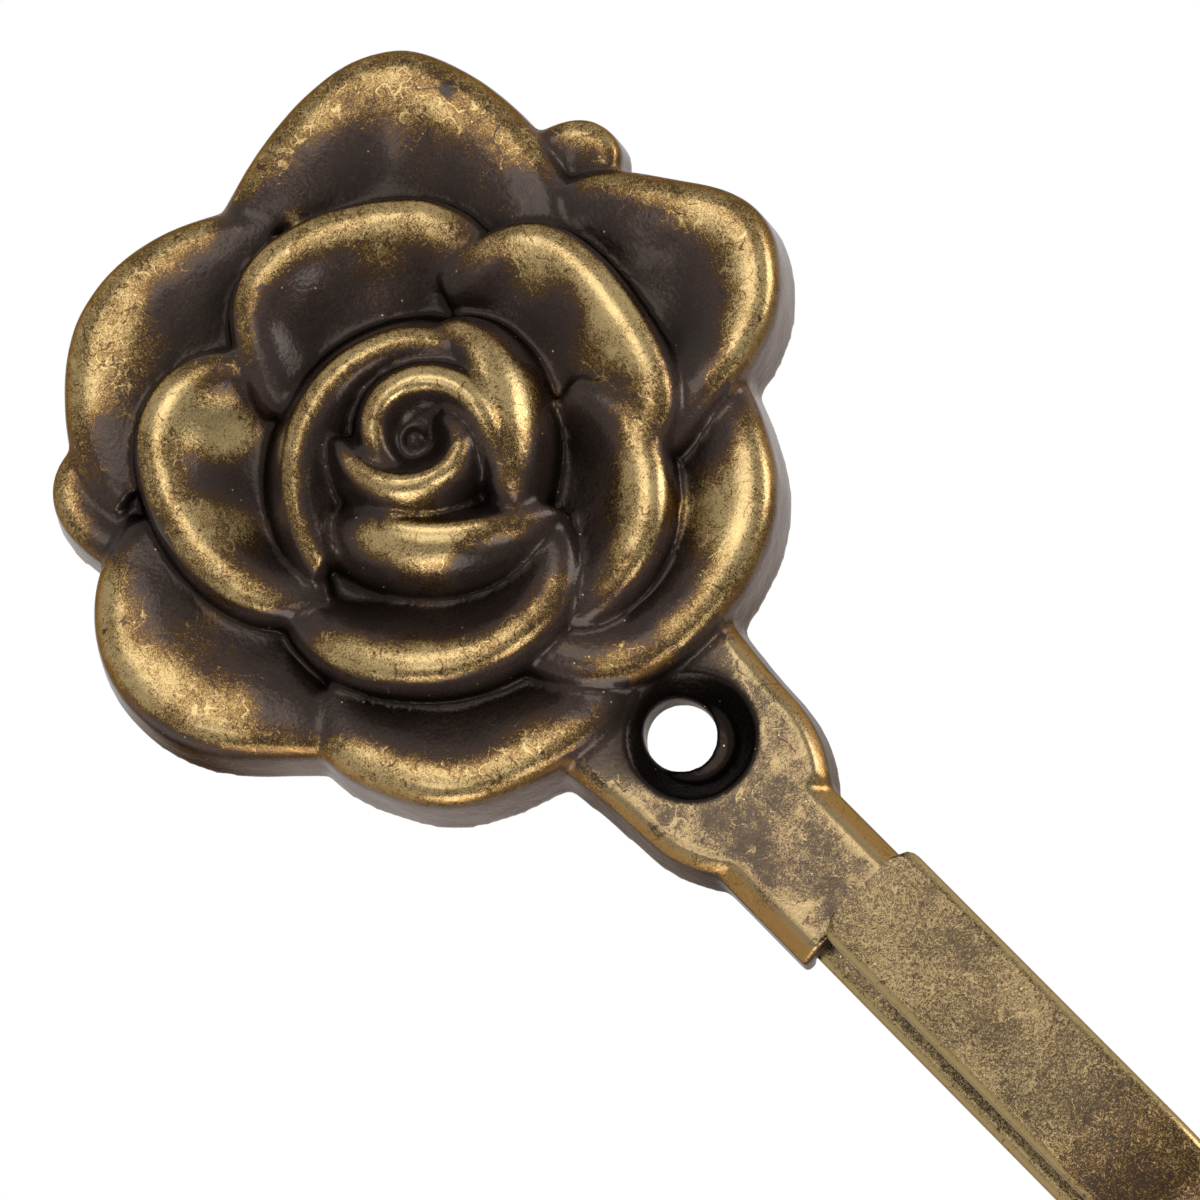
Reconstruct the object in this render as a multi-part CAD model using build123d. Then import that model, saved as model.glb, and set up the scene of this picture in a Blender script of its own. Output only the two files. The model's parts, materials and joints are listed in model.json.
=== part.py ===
from build123d import *
import os
from math import radians, tan

# Wall hook for a curtain tieback: a cast rose with a neck and tongue, and a flat strip bent to a hook.
# Drawn on a bench plane: x across, y up the wall, z off the wall, screw hole at the origin.

# Bent strip
strip_width = 7.6
strip_thickness = 2.0
strip_edge_radius = 0.7
strip_tip_radius = 1.1
strip_top = -8.5
bend_level = -42.0
bend_radius = 10.5
tip_level = -19.1

# Tongue and neck of the casting
tongue_width = 9.5
tongue_shift = -0.15
tongue_end = -17.0
tongue_thickness = 4.6
tongue_bevel = 1.3
neck_width = 14.5
neck_shift = 0.2
neck_top_width = 17.0
neck_flare_x = 7.6
neck_flare_y = 0.6
neck_straight_end = -4.2
neck_arc_x = 6.45
neck_arc_y = -7.4
neck_end = -10.0
neck_top = 6.0
neck_thickness = 4.6
neck_bevel = 0.8
neck_bevel_angle = 45.0
neck_draft = 9.0

# Screw hole and its countersink, which sits a little low of the hole
hole_diameter = 4.8
sink_diameter = 8.6
sink_floor_diameter = 5.2
sink_depth = 2.3
sink_shift_x = 0.3
sink_shift_y = -1.0

# Staked studs that hold the strip in its channel
stud_diameter = 3.0
stud_levels = (-11.3, -14.6)
stud_clearance = 0.05
channel_side_clearance = 0.1
channel_end_clearance = 0.2

# Rose: place of its bud over the hole, and the common wall draft of the petals
bud_x = 0.5
bud_y = 24.8
petal_draft = 7.0
stations = 10
fall_power = 3
hub_share = 0.1
lip_share = 0.5

# Each ring of petals: rounding of the rim, width of its lip, depth of the dish, foot level
broad_ring = {"roll": 2.0, "lip": 4.5, "dish": 1.4, "foot": 0.0}
outer_ring = {"roll": 1.8, "lip": 3.0, "dish": 1.9, "foot": 0.0}
tip_ring = {"roll": 1.1, "lip": 1.6, "dish": 0.8, "foot": 0.0}
middle_ring = {"roll": 1.7, "lip": 2.4, "dish": 2.6, "foot": 1.5}
inner_ring = {"roll": 1.5, "lip": 1.6, "dish": 2.2, "foot": 3.0}
sail_ring = {"roll": 3.8, "lip": 0.8, "dish": 2.0, "foot": 1.5}
bud_ring = {"roll": 1.5, "lip": 0.9, "dish": 2.0, "foot": 4.0}

# Solid floors under the three rings of petals, and the cored back
outer_floor_radius = 17.0
outer_floor_height = 3.9
middle_floor_radius = 11.0
middle_floor_height = 5.7
inner_floor_radius = 6.0
inner_floor_height = 8.4
pip_x = 0.2
pip_y = 0.2
pip_radius = 0.8
pip_height = 10.6
pip_crown = 0.4
core_draft = 10.0
core_radius = 17.0
core_depth = 1.2
core_step_radius = 9.5
core_step_depth = 2.6


def petal(rim, hub, crest, falls, ring, lean=0.0, slim=(0.0, 0.0)):
    """A petal: rounded rim, drafted outer wall and dished inner slope, as sections turned about a hub.

    rim is the crest line about the bud, crest its height, falls the drop of the crest at its two ends,
    ring the sizes its ring of petals shares, lean the extra draft of the outer wall in degrees,
    slim the share of the rounding that is lost towards its two ends.
    """
    line = Spline(*rim)
    centre = Vector(*hub)
    slope = tan(radians(petal_draft + lean))
    foot = ring["foot"]
    sections = []
    for index in range(stations + 1):
        t = index / stations
        side = 2 * t - 1
        top = crest - falls[int(side > 0)] * abs(side) ** fall_power
        roll = ring["roll"] * (1 - slim[int(side > 0)] * side ** 2)
        arm = line @ t - centre
        far = arm.length
        inner = hub_share * far
        lip = min(ring["lip"], lip_share * far)
        dip = top - ring["dish"]
        shoulder = top - roll
        wall_foot = far + roll + slope * (shoulder - foot)
        plane = Plane((centre.X, centre.Y, 0), x_dir=arm, z_dir=arm.cross(Vector(0, 0, 1)))
        outline = [
            Line((wall_foot, foot), (far + roll, shoulder)),
            Bezier((far + roll, shoulder), (far + roll - slope * roll, top), (far, top)),
            Bezier((far, top), (far - lip, top), (far - lip, dip), (inner, dip)),
            Line((inner, dip), (inner, foot)),
            Line((inner, foot), (wall_foot, foot)),
        ]
        sections.append(plane * make_face(outline))
    return loft(sections)


def disc(radius, height):
    return extrude(Circle(radius), height)


outer_petals = [
    # top right
    petal(
        [(1.6, 21.0), (6.0, 21.9), (11.4, 22.7), (16.9, 21.2),
         (19.0, 16.4), (19.1, 10.7), (16.6, 5.0)],
        hub=(9.0, 13.2), crest=5.8, falls=(1.2, 0.0), ring=broad_ring,
    ),
    # top left
    petal(
        [(4.3, 19.2), (0.6, 21.4), (-3.9, 23.0), (-9.5, 22.2),
         (-13.0, 19.2), (-15.1, 16.1), (-15.5, 12.5)],
        hub=(-4.6, 14.1), crest=5.6, falls=(0.8, 0.6), ring=broad_ring,
    ),
    # left tip
    petal(
        [(-14.2, 16.4), (-17.1, 16.8), (-18.8, 15.3),
         (-19.3, 12.4), (-18.5, 9.5)],
        hub=(-12.6, 10.3), crest=4.6, falls=(0.4, 0.4), ring=tip_ring,
    ),
    # bottom left
    petal(
        [(-15.8, 10.0), (-19.3, 8.8), (-22.2, 6.0), (-23.4, 1.6),
         (-22.1, -3.0), (-19.5, -6.0), (-16.6, -9.1)],
        hub=(-12.8, 0.8), crest=5.8, falls=(1.0, 1.0), ring=broad_ring,
    ),
    # bottom
    petal(
        [(-15.2, -6.4), (-16.8, -9.7), (-15.8, -13.5), (-14.0, -16.5),
         (-10.7, -18.6), (-6.2, -20.0), (-2.1, -19.9), (-0.5, -18.5)],
        hub=(-5.4, -7.5), crest=5.8, falls=(1.2, 1.2), ring=outer_ring,
    ),
    # right
    petal(
        [(-3.9, -13.6), (-2.7, -16.2), (-0.4, -18.9), (4.1, -20.2),
         (9.0, -19.6), (13.3, -17.5), (16.0, -13.9), (17.7, -9.6)],
        hub=(4.6, -9.1), crest=6.4, falls=(0.4, 1.4), ring=outer_ring,
    ),
    # upper right
    petal(
        [(17.1, 6.5), (20.5, 5.3), (23.9, 1.1), (25.9, -3.1),
         (24.3, -6.6), (20.5, -9.1), (16.2, -9.6), (12.4, -10.0)],
        hub=(13.1, -2.2), crest=6.8, falls=(1.6, -0.2), ring=outer_ring,
    ),
    # top tip
    petal(
        [(19.2, 10.8), (21.4, 10.4), (23.3, 9.0),
         (23.4, 7.1), (21.7, 6.0)],
        hub=(18.1, 7.3), crest=4.8, falls=(0.3, 0.3), ring=tip_ring,
    ),
]
middle_petals = [
    # top
    petal(
        [(-4.1, 8.5), (-2.8, 13.2), (-0.5, 15.7), (3.8, 16.1),
         (8.4, 14.0), (11.7, 10.5), (11.7, 6.4)],
        hub=(2.6, 4.9), crest=8.4, falls=(1.0, 1.4), ring=middle_ring,
    ),
    # right top
    petal(
        [(8.9, 7.5), (12.0, 7.1), (15.1, 5.2), (16.2, 1.3),
         (15.6, -3.1), (13.7, -8.2), (10.8, -9.7)],
        hub=(5.8, -1.5), crest=8.8, falls=(1.8, 0.6), ring=middle_ring, slim=(0.4, 0.0),
    ),
    # right
    petal(
        [(10.0, -3.7), (11.3, -7.0), (10.0, -11.1),
         (7.3, -13.9), (3.7, -15.1), (-0.3, -14.2)],
        hub=(3.1, -4.3), crest=8.4, falls=(0.8, 1.8), ring=middle_ring,
    ),
    # bottom
    petal(
        [(-12.6, -1.9), (-12.8, -5.2), (-11.1, -8.7), (-8.1, -11.7),
         (-4.0, -13.3), (-0.3, -12.9), (2.3, -10.4), (2.6, -8.6)],
        hub=(-4.9, -3.1), crest=8.4, falls=(2.0, 0.8), ring=middle_ring,
    ),
    # left
    petal(
        [(-4.0, 12.2), (-7.1, 14.7), (-11.3, 13.6), (-13.8, 10.1),
         (-14.9, 5.4), (-13.9, 0.8), (-10.3, -1.9)],
        hub=(-5.4, 5.2), crest=8.2, falls=(1.0, 1.6), ring=middle_ring,
    ),
]
inner_petals = [
    # left
    petal(
        [(6.2, 2.2), (4.5, 5.3), (0.7, 6.9), (-3.5, 6.4),
         (-7.1, 4.0), (-8.9, 1.3), (-9.7, -1.2)],
        hub=(-0.9, 0.7), crest=10.8, falls=(0.6, 2.4), ring=inner_ring, lean=14,
    ),
    # right
    petal(
        [(6.4, 4.4), (6.8, 2.3), (6.1, -0.3),
         (4.9, -2.3), (3.0, -4.5), (1.1, -6.7)],
        hub=(1.0, -0.3), crest=11.2, falls=(1.4, 1.8), ring=sail_ring, lean=8, slim=(0.7, 0.2),
    ),
    # bottom
    petal(
        [(-6.3, 1.4), (-5.3, -1.7), (-3.6, -4.4),
         (-1.1, -6.6), (1.5, -7.9), (3.4, -8.4)],
        hub=(0.1, -2.1), crest=10.5, falls=(3.0, 2.0), ring=sail_ring, lean=14, slim=(-0.2, 0.5),
    ),
]
bud_petals = [
    # upper curl
    petal(
        [(-1.7, -1.0), (-2.1, 0.2), (-1.7, 1.7), (-0.2, 3.0), (2.2, 2.9),
         (4.0, 1.3), (4.5, -1.0), (3.7, -3.2), (2.1, -5.4)],
        hub=(0.9, 0.4), crest=12.2, falls=(1.6, 2.0), ring=bud_ring, lean=8, slim=(0.5, 0.3),
    ),
    # lower curl
    petal(
        [(-3.2, 3.8), (-3.8, 1.7), (-3.3, -0.6), (-2.0, -2.1),
         (-0.3, -2.9), (1.7, -2.6), (2.6, -1.3), (2.7, 0.0)],
        hub=(-0.3, 0.6), crest=12.0, falls=(1.6, 1.0), ring=bud_ring, lean=16, slim=(0.4, 0.5),
    ),
]
rose_solids = [
    disc(outer_floor_radius, outer_floor_height),
    disc(middle_floor_radius, middle_floor_height),
    disc(inner_floor_radius, inner_floor_height),
]
rose_solids += outer_petals + middle_petals + inner_petals + bud_petals
pip = chamfer(extrude(Circle(pip_radius), pip_height).edges().sort_by(Axis.Z)[-1], pip_crown)
rose_solids.append(Pos(pip_x, pip_y) * pip)

rose = rose_solids[0]
for solid in rose_solids[1:]:
    rose = rose.fuse(solid)
rose = Pos(bud_x, bud_y, 0) * rose

# Neck and tongue
half_neck = neck_width / 2
half_tongue = tongue_width / 2
half_top = neck_top_width / 2
neck_outline = [
    Line((half_top, neck_top), (-half_top, neck_top)),
    ThreePointArc((-half_top, neck_top), (-neck_flare_x, neck_flare_y), (-half_neck, neck_straight_end)),
    ThreePointArc((-half_neck, neck_straight_end), (-neck_arc_x, neck_arc_y), (-half_tongue, neck_end)),
    Line((-half_tongue, neck_end), (half_tongue, neck_end)),
    ThreePointArc((half_tongue, neck_end), (neck_arc_x, neck_arc_y), (half_neck, neck_straight_end)),
    ThreePointArc((half_neck, neck_straight_end), (neck_flare_x, neck_flare_y), (half_top, neck_top)),
]
neck = extrude(Pos(neck_shift, 0) * make_face(neck_outline), neck_thickness - neck_bevel, taper=neck_draft)
neck += extrude(neck.faces().sort_by(Axis.Z)[-1], neck_bevel, taper=neck_bevel_angle)
tongue_profile = Polyline(
    (-half_tongue, 0),
    (half_tongue, 0),
    (half_tongue, tongue_thickness - tongue_bevel),
    (half_tongue - tongue_bevel, tongue_thickness),
    (-half_tongue + tongue_bevel, tongue_thickness),
    (-half_tongue, tongue_thickness - tongue_bevel),
    close=True,
)
tongue_length = neck_straight_end - tongue_end
tongue_plane = Plane((tongue_shift, tongue_end, 0), x_dir=(-1, 0, 0), z_dir=(0, 1, 0))
tongue = extrude(tongue_plane * make_face(tongue_profile), tongue_length)

casting = rose.fuse(neck, tongue)

# Cored back, channel for the strip, screw hole
core = extrude(Circle(core_radius), core_depth, taper=core_draft)
core += extrude(Circle(core_step_radius), core_step_depth, taper=core_draft)
casting -= Pos(bud_x, bud_y, 0) * core
channel_width = strip_width + 2 * channel_side_clearance
channel_length = strip_top + channel_end_clearance - tongue_end
channel_middle = (strip_top + channel_end_clearance + tongue_end) / 2
casting -= Pos(0, channel_middle, strip_thickness / 2) * Box(channel_width, channel_length, strip_thickness)
for level in stud_levels:
    casting += Pos(0, level, 0) * extrude(Circle(stud_diameter / 2), strip_thickness)
sink_base = neck_thickness - sink_depth
casting -= extrude(Circle(hole_diameter / 2), neck_thickness)
casting -= Pos(sink_shift_x, sink_shift_y, sink_base + sink_depth / 2) * Cone(
    sink_floor_diameter / 2, sink_diameter / 2, sink_depth
)

# Strip bent to a hook, open towards the rose
half_strip = strip_thickness / 2
front_level = half_strip + 2 * bend_radius
path = Wire(
    [
        Line((0, strip_top, half_strip), (0, bend_level, half_strip)),
        ThreePointArc(
            (0, bend_level, half_strip),
            (0, bend_level - bend_radius, half_strip + bend_radius),
            (0, bend_level, front_level),
        ),
        Line((0, bend_level, front_level), (0, tip_level, front_level)),
    ]
)
strip_section = Plane((0, strip_top, half_strip), x_dir=(1, 0, 0), z_dir=(0, -1, 0)) * RectangleRounded(
    strip_width, strip_thickness, strip_edge_radius
)
arm = sweep(strip_section, path)
round_x = strip_width / 2 - strip_tip_radius
round_y = tip_level - strip_tip_radius
for side in (-1, 1):
    corner = Pos(side * (round_x + strip_tip_radius / 2), round_y + strip_tip_radius / 2) * Rectangle(
        strip_tip_radius, strip_tip_radius
    )
    corner -= Pos(side * round_x, round_y) * Circle(strip_tip_radius)
    arm -= Pos(0, 0, front_level - strip_thickness) * extrude(corner, 2 * strip_thickness)
for level in stud_levels:
    arm -= Pos(0, level, 0) * extrude(Circle(stud_diameter / 2 + stud_clearance), strip_thickness)

# Turn from the bench to the wall: front to -Y, rose up +Z
wall_turn = Rot(90, 0, 0)
os.makedirs("parts", exist_ok=True)
export_step(wall_turn * casting, "parts/rose_plate.step")
export_step(wall_turn * arm, "parts/arm.step")
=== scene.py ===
import json
import logging
import math
from dataclasses import dataclass
from enum import Enum
from functools import partial

import bmesh
import bpy
import numpy as np
from mathutils import Matrix, Vector, noise
from mathutils.bvhtree import BVHTree

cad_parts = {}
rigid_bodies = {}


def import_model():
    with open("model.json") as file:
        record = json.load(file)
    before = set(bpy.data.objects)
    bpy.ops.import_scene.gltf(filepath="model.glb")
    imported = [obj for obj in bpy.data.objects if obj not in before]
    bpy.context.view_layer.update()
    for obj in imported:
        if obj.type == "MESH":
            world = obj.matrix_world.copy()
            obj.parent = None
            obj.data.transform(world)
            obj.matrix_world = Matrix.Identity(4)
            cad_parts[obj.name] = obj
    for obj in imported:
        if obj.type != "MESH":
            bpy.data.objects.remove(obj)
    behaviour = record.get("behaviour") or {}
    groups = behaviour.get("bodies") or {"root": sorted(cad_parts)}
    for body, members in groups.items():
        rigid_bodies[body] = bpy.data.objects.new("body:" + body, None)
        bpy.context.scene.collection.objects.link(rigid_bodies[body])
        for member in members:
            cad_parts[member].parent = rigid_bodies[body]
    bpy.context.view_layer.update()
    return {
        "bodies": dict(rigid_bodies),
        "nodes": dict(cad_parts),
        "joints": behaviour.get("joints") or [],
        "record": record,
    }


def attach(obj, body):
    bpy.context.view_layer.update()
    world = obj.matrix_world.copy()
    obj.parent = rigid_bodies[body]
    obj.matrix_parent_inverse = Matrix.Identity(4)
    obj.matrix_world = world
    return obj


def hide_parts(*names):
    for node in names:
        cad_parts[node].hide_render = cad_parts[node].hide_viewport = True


MM = 0.001
BODY = "root"
# node types that are used often
CLAMP = "ShaderNodeClamp"
MATH = "ShaderNodeMath"
MIX = "ShaderNodeMix"
NOISE = "ShaderNodeTexNoise"
RAMP = "ShaderNodeValToRGB"
RANGE = "ShaderNodeMapRange"
VECTOR = "ShaderNodeCombineXYZ"
log = logging.getLogger("rose_hook")


class Slot(Enum):
    """The record's material slots."""

    CASTING = "antique_brass_casting"
    STRIP = "antique_brass_strip"


class Band(Enum):
    """The vertex attributes that the finishes read."""

    RUBBED = "rubbed"
    HOLLOW = "hollow"
    WALL = "wall"
    FACE = "face"
    AMBER = "amber"


def linear(code: str) -> tuple[float, float, float, float]:
    """Turn an sRGB hex colour to linear light.

    Args:
        code: The colour as six hex digits after a hash.

    Returns:
        Red, green, blue and an alpha of one.
    """
    parts = [int(code[i:i + 2], 16) / 255 for i in (1, 3, 5)]
    red, green, blue = (c / 12.92 if c <= 0.04045 else ((c + 0.055) / 1.055) ** 2.4 for c in parts)
    return red, green, blue, 1.0


def grains(size_mm: float) -> float:
    """Give the scale of a noise whose grains are of a real size, on coordinates in metres."""
    return 0.5 / (size_mm * MM)


def add_node(tree: bpy.types.NodeTree, kind: str, inputs: dict | None = None,
             **settings: object) -> bpy.types.Node:
    """Add one node to a tree, with its settings, values and links.

    Args:
        tree: The node tree that takes it.
        kind: The node's type name.
        inputs: Values, sockets or nodes by input name or number. A node gives its first output.
        settings: Properties of the node itself.

    Returns:
        The new node.
    """
    node = tree.nodes.new(kind)
    for name, value in settings.items():
        setattr(node, name, value)
    for key, value in (inputs or {}).items():
        if isinstance(value, bpy.types.Node):
            value = value.outputs[0]
        if isinstance(value, bpy.types.NodeSocket):
            tree.links.new(value, node.inputs[key])
        else:
            node.inputs[key].default_value = value
    return node


def set_ramp(node: bpy.types.Node, stops: list[tuple[float, str]]) -> None:
    """Give a colour ramp its stops.

    Args:
        node: The colour ramp.
        stops: Places from 0 to 1 with their hex colours.
    """
    elements = node.color_ramp.elements
    while len(elements) < len(stops):
        elements.new(1.0)
    for element, (place, code) in zip(elements, stops):
        element.position = place
        element.color = linear(code)


@dataclass(frozen=True)
class AntiqueBrass:
    """Antique brass: brass plate, blackened all over and rubbed back by hand.

    The patina is a thin dark lacquer that lies unevenly: it shows a grey sheen on open floors and goes near
    black in valleys. Where it is rubbed through, the metal shows gold, and amber on bevels and rolled rims. The
    edge between them is ragged, with specks, curled hairlines and blotches. The cast side walls keep a dull mauve
    brown, and go a darker brown where shade is painted on them. The edge tint holds back the white glare that
    metal has where it is seen along its surface.
    """

    name: str
    # patina to bare metal, from the valleys up
    deep: str = "#1B1512"
    black: str = "#2A211E"
    dark: str = "#3E312C"
    stain: str = "#3C2B1F"
    rust: str = "#4E371C"
    olive: str = "#614C2B"
    gold: str = "#776241"
    bright: str = "#9C875E"
    # flat faces, bevels and rolled rims, side walls with the painted shade on them, glare
    flat_dark: str = "#3C332A"
    flat_mid: str = "#5F4F3A"
    flat_gold: str = "#857252"
    amber: str = "#8A6230"
    wall: str = "#62524B"
    wall_shade: str = "#241A15"
    edge_tint: str = "#B4A99F"
    # sizes of the patterns; the fibres are as fine as the render can show
    fibre_mm: float = 0.13
    fibre_curl: float = 2.5
    blotch_mm: float = 2.2
    hair_mm: float = 0.9
    hair_break_mm: float = 0.5
    hair_width: float = 0.018
    hair_shifts: tuple[float, float] = (0.11, 0.37)
    dust_mm: float = 0.9
    dust_core: float = 0.05
    dust_rim: float = 0.09
    dust_limit: float = 0.7
    grain_mm: float = 0.14
    grain_depth_mm: float = 0.03
    grain_strength: float = 0.6
    lump_mm: float = 1.4
    lump_depth_mm: float = 0.10
    lump_fade: float = 1.6
    # how strongly each pattern breaks the edge of the patina
    ragged: float = 1.7
    patchy: float = 1.3
    face_patchy: float = 0.8
    hair_gain: float = 0.36
    amber_speckle: float = 2.2
    wall_speckle: float = 1.6
    # lacquer or metal, and how rough
    metal_from: float = 0.22
    metal_full: float = 0.5
    patina_metal: float = 0.12
    face_metal: float = 0.85
    hollow_metal: float = 0.8
    wall_dulling: float = 0.6
    rough_swing: float = 0.2
    smooth: float = 0.20
    coarse: float = 0.36
    patina_gloss: float = 0.7

    def material(self) -> bpy.types.Material:
        """Build the finish as a node material.

        Returns:
            The material.
        """
        material = bpy.data.materials.new(self.name)
        material.use_nodes = True
        tree = material.node_tree
        tree.nodes.clear()
        add = partial(add_node, tree)
        place = add("ShaderNodeTexCoord").outputs["Object"]
        bands = {band: add("ShaderNodeAttribute", attribute_name=band.value).outputs["Fac"] for band in Band}
        fibre = add(NOISE, {
            "Vector": place, "Scale": grains(self.fibre_mm), "Detail": 2.0, "Roughness": 0.6,
            "Distortion": self.fibre_curl,
        })
        fibre = add(MATH, {0: fibre, 1: 0.5}, operation="SUBTRACT")
        blotch = add(NOISE, {"Vector": place, "Scale": grains(self.blotch_mm), "Detail": 4.0, "Roughness": 0.6})
        blotch = add(MATH, {0: blotch, 1: 0.5}, operation="SUBTRACT")
        patch = add(MATH, {0: bands[Band.FACE], 1: self.face_patchy, 2: self.patchy}, operation="MULTIPLY_ADD")
        level = add(MATH, {0: fibre, 1: self.ragged, 2: bands[Band.RUBBED]}, operation="MULTIPLY_ADD")
        level = add(MATH, {0: blotch, 1: patch, 2: level}, operation="MULTIPLY_ADD")
        level = add(MATH, {0: self.hairs(tree, place), 1: self.hair_gain, 2: level}, operation="MULTIPLY_ADD")
        specks = add(MATH, {0: fibre, 1: blotch}, operation="ADD")
        dust = self.dust(tree, place)
        metal = self.metal(tree, bands, level)
        rough = add(RANGE, {
            "Value": fibre, "From Min": -self.rough_swing, "From Max": self.rough_swing,
            "To Min": self.smooth, "To Max": self.coarse,
        })
        dulled = add(MATH, {0: metal, 1: 1 - self.patina_gloss, 2: self.patina_gloss}, operation="MULTIPLY_ADD")
        shader = add("ShaderNodeBsdfPrincipled", {
            "Base Color": self.colour(tree, bands, level, specks, dust), "Metallic": metal,
            "Roughness": add(MATH, {0: rough, 1: dulled}, operation="MULTIPLY"),
            "Normal": self.relief(tree, place, bands), "Specular Tint": linear(self.edge_tint),
        })
        add("ShaderNodeOutputMaterial", {"Surface": shader})
        return material

    def colour(self, tree: bpy.types.NodeTree, bands: dict[Band, bpy.types.NodeSocket], level: bpy.types.Node,
               specks: bpy.types.Node, dust: bpy.types.Node) -> bpy.types.NodeSocket:
        """Lay the colours over each other, from rubbed patina to dust.

        Args:
            tree: The material's tree.
            bands: The attributes.
            level: How far the patina is rubbed through.
            specks: Fine and coarse noise together, about zero.
            dust: Near one on a pinpoint.

        Returns:
            The colour socket.
        """
        add = partial(add_node, tree)
        carved = add(RAMP, {"Fac": level})
        set_ramp(carved, [
            (0.0, self.black), (0.26, self.dark), (0.38, self.stain), (0.48, self.rust), (0.58, self.olive),
            (0.72, self.gold), (0.94, self.bright),
        ])
        flat = add(RAMP, {"Fac": level})
        set_ramp(flat, [(0.40, self.flat_dark), (0.58, self.flat_mid), (0.80, self.flat_gold)])
        amber = add(MATH, {0: specks, 1: self.amber_speckle, 2: 1.0}, operation="MULTIPLY_ADD")
        amber = add(MATH, {0: bands[Band.AMBER], 1: amber}, operation="MULTIPLY")
        worn = add(MATH, {0: specks, 1: self.wall_speckle, 2: bands[Band.RUBBED]}, operation="MULTIPLY_ADD")
        # side walls: mauve brown with speckle, going to the darker brown of painted shade at the lower left and
        # on the neck
        wall = add(MIX, {0: worn, 6: linear(self.wall_shade), 7: linear(self.wall)}, data_type="RGBA")
        layers = [
            (bands[Band.FACE], flat.outputs["Color"]),
            (add(CLAMP, {"Value": amber}), linear(self.amber)),
            (bands[Band.HOLLOW], linear(self.deep)),
            (bands[Band.WALL], wall.outputs[2]),
            (dust, linear(self.bright)),
        ]
        shown = carved.outputs["Color"]
        for share, layer in layers:
            shown = add(MIX, {0: share, 6: shown, 7: layer}, data_type="RGBA").outputs[2]
        return shown

    def metal(self, tree: bpy.types.NodeTree, bands: dict[Band, bpy.types.NodeSocket],
              level: bpy.types.Node) -> bpy.types.Node:
        """Find where metal shows and where lacquer does.

        Args:
            tree: The material's tree.
            bands: The attributes.
            level: How far the patina is rubbed through.

        Returns:
            The node that gives one for metal and zero for lacquer.
        """
        add = partial(add_node, tree)
        metal = add(RANGE, {
            "Value": level, "From Min": self.metal_from, "From Max": self.metal_full,
            "To Min": self.patina_metal, "To Max": 1.0,
        })
        for band, least in ((Band.FACE, self.face_metal), (Band.HOLLOW, self.hollow_metal)):
            kept = add(MATH, {0: bands[band], 1: least}, operation="MULTIPLY")
            metal = add(MATH, {0: metal, 1: kept}, operation="MAXIMUM")
        bare = add(MATH, {0: bands[Band.RUBBED], 1: -self.wall_dulling, 2: 1.0}, operation="MULTIPLY_ADD")
        change = add(MATH, {0: bare, 1: metal}, operation="SUBTRACT")
        return add(MATH, {0: bands[Band.WALL], 1: change, 2: metal}, operation="MULTIPLY_ADD")

    def relief(self, tree: bpy.types.NodeTree, place: bpy.types.NodeSocket,
               bands: dict[Band, bpy.types.NodeSocket]) -> bpy.types.Node:
        """Make the patina lie unevenly where it is thick, and grain the whole surface.

        Args:
            tree: The material's tree.
            place: The coordinates in metres.
            bands: The attributes.

        Returns:
            The bump node.
        """
        add = partial(add_node, tree)
        thick = add(MATH, {0: bands[Band.RUBBED], 1: -self.lump_fade, 2: 1.0}, operation="MULTIPLY_ADD")
        thick = add(MATH, {0: add(CLAMP, {"Value": thick}), 1: bands[Band.WALL]}, operation="MAXIMUM")
        lump = add(NOISE, {"Vector": place, "Scale": grains(self.lump_mm), "Detail": 3.0, "Roughness": 0.55})
        uneven = add("ShaderNodeBump", {"Strength": thick, "Distance": self.lump_depth_mm * MM, "Height": lump})
        grain = add(NOISE, {"Vector": place, "Scale": grains(self.grain_mm), "Detail": 2.0, "Roughness": 0.5})
        return add("ShaderNodeBump", {
            "Strength": self.grain_strength, "Distance": self.grain_depth_mm * MM, "Height": grain,
            "Normal": uneven,
        })

    def hairs(self, tree: bpy.types.NodeTree, place: bpy.types.NodeSocket) -> bpy.types.Node:
        """Add short curled hairlines: narrow bands round the middle value of a noise, broken by another.

        Args:
            tree: The material's tree.
            place: The coordinates in metres.

        Returns:
            A node that gives near one on a bright line and near minus one on a dark one.
        """
        add = partial(add_node, tree)
        lines = []
        for shift in self.hair_shifts:
            moved = add("ShaderNodeVectorMath", {0: place, 1: (shift, shift, shift)})
            curve = add(NOISE, {"Vector": moved, "Scale": grains(self.hair_mm), "Detail": 1.0, "Roughness": 0.5})
            off = add(MATH, {0: curve, 1: 0.5}, operation="SUBTRACT")
            off = add(MATH, {0: off}, operation="ABSOLUTE")
            line = add(RANGE, {"Value": off, "From Min": self.hair_width, "From Max": 0.0})
            broken = add(NOISE, {
                "Vector": moved, "Scale": grains(self.hair_break_mm), "Detail": 1.0, "Roughness": 0.5,
            })
            kept = add(RANGE, {"Value": broken, "From Min": 0.5, "From Max": 0.56})
            lines.append(add(MATH, {0: line, 1: kept}, operation="MULTIPLY"))
        return add(MATH, {0: lines[0], 1: lines[1]}, operation="SUBTRACT")

    def dust(self, tree: bpy.types.NodeTree, place: bpy.types.NodeSocket) -> bpy.types.Node:
        """Add sparse bright pinpoints.

        Args:
            tree: The material's tree.
            place: The coordinates in metres.

        Returns:
            A node that gives near one on a pinpoint.
        """
        add = partial(add_node, tree)
        cells = add("ShaderNodeTexVoronoi", {"Vector": place, "Scale": 1.0 / (self.dust_mm * MM)})
        near = add(RANGE, {
            "Value": cells.outputs["Distance"], "From Min": self.dust_rim, "From Max": self.dust_core,
        })
        chance = add("ShaderNodeSeparateXYZ", {0: cells.outputs["Color"]})
        few = add(MATH, {0: chance, 1: self.dust_limit}, operation="GREATER_THAN")
        return add(MATH, {0: near, 1: few}, operation="MULTIPLY")


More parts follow.
